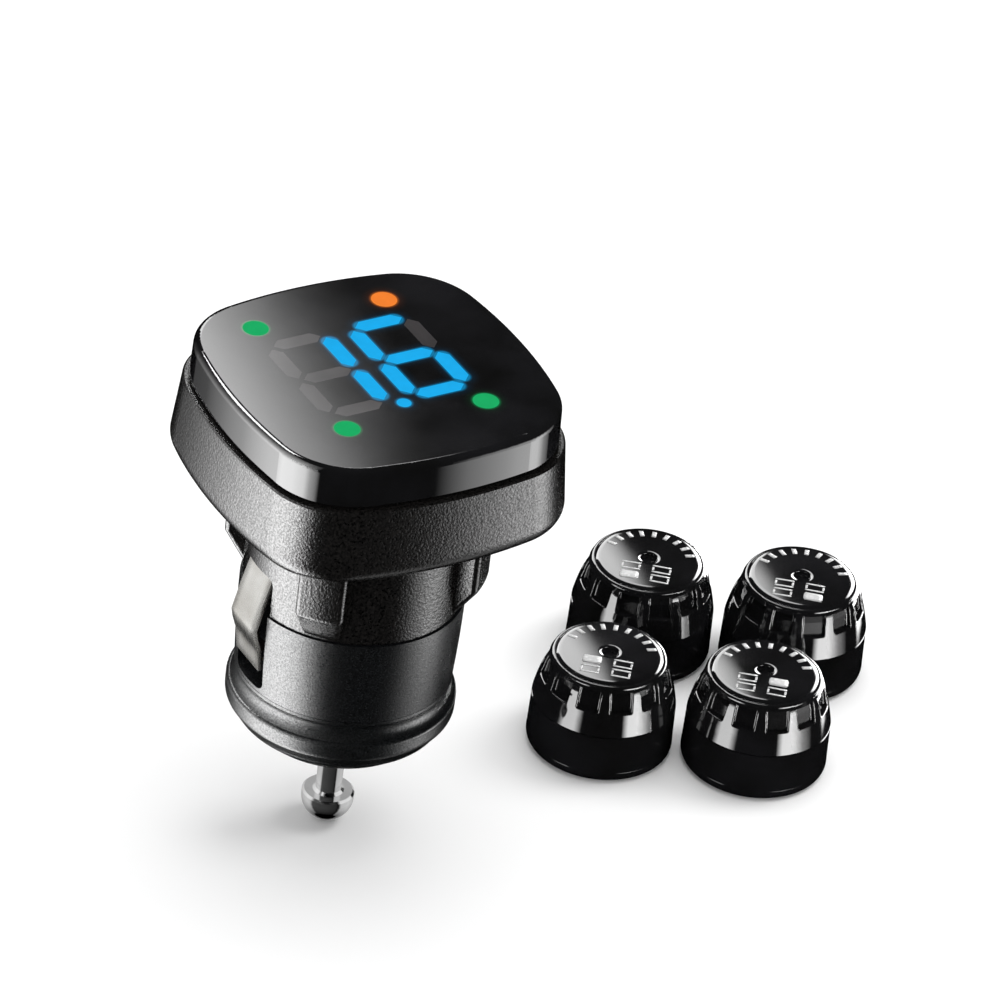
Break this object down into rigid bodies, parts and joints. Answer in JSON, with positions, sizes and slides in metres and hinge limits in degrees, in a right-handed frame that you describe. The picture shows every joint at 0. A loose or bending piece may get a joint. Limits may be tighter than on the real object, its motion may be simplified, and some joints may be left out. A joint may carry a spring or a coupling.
{
  "type": "tire pressure monitor",
  "caption": "Tyre pressure monitor: a square glossy display on a plug for a 12 V socket, with round valve-cap pressure sensors beside it.",
  "frame": {"origin": "end of the plug's centre contact, where it meets a socket's end contact", "axes": "+Z up the plug's axis to the display face; +X to the right and +Y up as the display is read"},
  "size_m": [0.0751, 0.0359, 0.049],
  "materials": {
    "cap_gloss_black": "high gloss",
    "smoked_segment": "high gloss",
    "blue_light": "lit, gloss window",
    "green_light": "lit, gloss window",
    "orange_light": "lit, gloss window",
    "textured_black": "fine spark texture",
    "satin_black": "satin",
    "grained_black": "fine spark texture",
    "nickel": "bright nickel plate",
    "chrome_pin": "polished",
    "spring_steel": "drawn wire",
    "fuse_glass": "clear",
    "fuse_wire": "drawn wire",
    "brass": "turned",
    "circuit_green": "solder mask",
    "chip_black": "moulded epoxy",
    "led_white": "moulded",
    "component_grey": "ferrite and moulded cases",
    "header_black": "moulded",
    "screw_steel": "zinc plated",
    "copper": "bright wire",
    "nylon_natural": "moulded",
    "fibre_washer": "pressed fibre",
    "sensor_gloss_black": "high gloss",
    "rubber_black": "moulded",
    "cell_steel": "stainless can"
  },
  "bodies": {
    "display_body": {"led_module": "led_white", "status_leds": "led_white", "display_board": "circuit_green", "control_chip": "chip_black", "radio_chip": "chip_black", "antenna_coil": "copper", "buzzer": "header_black", "tact_switch": "header_black", "board_screws": "screw_steel", "head_base": "textured_black", "plug_sleeve": "satin_black", "contact_spring": "spring_steel", "fuse_tube": "fuse_glass", "fuse_caps": "nickel", "fuse_wire": "fuse_wire", "fuse_clip": "brass", "power_board": "circuit_green", "power_components": "component_grey", "board_connector": "header_black", "inner_carrier": "nylon_natural"},
    "face": {"display_cap": "cap_gloss_black", "lit_segments": "blue_light", "unlit_segments": "smoked_segment", "green_lights": "green_light", "orange_light": "orange_light", "tact_plunger": "nylon_natural"},
    "nose_washer": {"nose_washer": "fibre_washer"},
    "nose": {"nose_cap": "grained_black"},
    "centre_contact": {"contact_pin": "chrome_pin"},
    "contact_left": {"side_contact_left": "nickel"},
    "contact_right": {"side_contact_right": "nickel"},
    "sensor_1": {"sensor_1_base": "sensor_gloss_black", "sensor_1_valve_insert": "brass", "sensor_1_valve_seal": "rubber_black", "sensor_1_circuit_board": "circuit_green", "sensor_1_coin_cell": "cell_steel"},
    "sensor_1_cover_seal": {"sensor_1_cover_seal": "rubber_black"},
    "sensor_1_cover": {"sensor_1_cover": "sensor_gloss_black"},
    "sensor_2": {"sensor_2_base": "sensor_gloss_black", "sensor_2_valve_insert": "brass", "sensor_2_valve_seal": "rubber_black", "sensor_2_circuit_board": "circuit_green", "sensor_2_coin_cell": "cell_steel"},
    "sensor_2_cover_seal": {"sensor_2_cover_seal": "rubber_black"},
    "sensor_2_cover": {"sensor_2_cover": "sensor_gloss_black"},
    "sensor_3": {"sensor_3_base": "sensor_gloss_black", "sensor_3_valve_insert": "brass", "sensor_3_valve_seal": "rubber_black", "sensor_3_circuit_board": "circuit_green", "sensor_3_coin_cell": "cell_steel"},
    "sensor_3_cover_seal": {"sensor_3_cover_seal": "rubber_black"},
    "sensor_3_cover": {"sensor_3_cover": "sensor_gloss_black"},
    "sensor_4": {"sensor_4_base": "sensor_gloss_black", "sensor_4_valve_insert": "brass", "sensor_4_valve_seal": "rubber_black", "sensor_4_circuit_board": "circuit_green", "sensor_4_coin_cell": "cell_steel"},
    "sensor_4_cover_seal": {"sensor_4_cover_seal": "rubber_black"},
    "sensor_4_cover": {"sensor_4_cover": "sensor_gloss_black"}
  },
  "joints": [
    {"name": "face_press", "type": "slide", "parent": "display_body", "child": "face", "axis": [0, 0, -1], "range_m": [0, 0.0003], "stiffness_N_per_m": 5000, "springref_m": -0.0002},
    {"name": "nose_drop", "type": "slide", "parent": "display_body", "child": "nose_washer", "axis": [0, 0, -1], "range_m": [0, 0.003]},
    {"name": "nose_turn", "type": "hinge", "parent": "nose_washer", "child": "nose", "pos_m": [0, 0, 0.0165], "axis": [0, 0, -1], "range_deg": [0, 1081]},
    {"name": "centre_contact_push", "type": "slide", "parent": "nose_washer", "child": "centre_contact", "axis": [0, 0, 1], "range_m": [0, 0.0035], "stiffness_N_per_m": 1400, "springref_m": -0.001, "deforming": ["contact_spring"]},
    {"name": "contact_left_flex", "type": "hinge", "parent": "display_body", "child": "contact_left", "pos_m": [-0.0093, 0, 0.0315], "axis": [0, -1, 0], "range_deg": [0, 8], "stiffness_Nm_per_rad": 0.1, "springref_deg": -2.86},
    {"name": "contact_right_flex", "type": "hinge", "parent": "display_body", "child": "contact_right", "pos_m": [0.0093, 0, 0.0315], "axis": [0, 1, 0], "range_deg": [0, 8], "stiffness_Nm_per_rad": 0.1, "springref_deg": -2.86},
    {"name": "sensor_1_lift", "type": "slide", "parent": "display_body", "child": "sensor_1", "axis": [0, 0, 1], "range_m": [0, 0.03]},
    {"name": "sensor_1_cover_rise", "type": "slide", "parent": "sensor_1", "child": "sensor_1_cover_seal", "axis": [0, 0, 1], "range_m": [0, 0.0016]},
    {"name": "sensor_1_cover_turn", "type": "hinge", "parent": "sensor_1_cover_seal", "child": "sensor_1_cover", "pos_m": [0.02942, 0.00137, 0.0074], "axis": [0, 0, 1], "range_deg": [0, 721]},
    {"name": "sensor_2_lift", "type": "slide", "parent": "display_body", "child": "sensor_2", "axis": [0, 0, 1], "range_m": [0, 0.03]},
    {"name": "sensor_2_cover_rise", "type": "slide", "parent": "sensor_2", "child": "sensor_2_cover_seal", "axis": [0, 0, 1], "range_m": [0, 0.0016]},
    {"name": "sensor_2_cover_turn", "type": "hinge", "parent": "sensor_2_cover_seal", "child": "sensor_2_cover", "pos_m": [0.0417, -0.00619, 0.0074], "axis": [0, 0, 1], "range_deg": [0, 721]},
    {"name": "sensor_3_lift", "type": "slide", "parent": "display_body", "child": "sensor_3", "axis": [0, 0, 1], "range_m": [0, 0.03]},
    {"name": "sensor_3_cover_rise", "type": "slide", "parent": "sensor_3", "child": "sensor_3_cover_seal", "axis": [0, 0, 1], "range_m": [0, 0.0016]},
    {"name": "sensor_3_cover_turn", "type": "hinge", "parent": "sensor_3_cover_seal", "child": "sensor_3_cover", "pos_m": [0.0403, 0.01339, 0.0074], "axis": [0, 0, 1], "range_deg": [0, 721]},
    {"name": "sensor_4_lift", "type": "slide", "parent": "display_body", "child": "sensor_4", "axis": [0, 0, 1], "range_m": [0, 0.03]},
    {"name": "sensor_4_cover_rise", "type": "slide", "parent": "sensor_4", "child": "sensor_4_cover_seal", "axis": [0, 0, 1], "range_m": [0, 0.0016]},
    {"name": "sensor_4_cover_turn", "type": "hinge", "parent": "sensor_4_cover_seal", "child": "sensor_4_cover", "pos_m": [0.05258, 0.00583, 0.0074], "axis": [0, 0, 1], "range_deg": [0, 721]}
  ],
  "couplings": [
    {"joint": "nose_turn", "follows": "nose_drop", "rad_per_m": 6283.2},
    {"joint": "sensor_1_cover_turn", "follows": "sensor_1_cover_rise", "rad_per_m": 7854},
    {"joint": "sensor_2_cover_turn", "follows": "sensor_2_cover_rise", "rad_per_m": 7854},
    {"joint": "sensor_3_cover_turn", "follows": "sensor_3_cover_rise", "rad_per_m": 7854},
    {"joint": "sensor_4_cover_turn", "follows": "sensor_4_cover_rise", "rad_per_m": 7854}
  ]
}
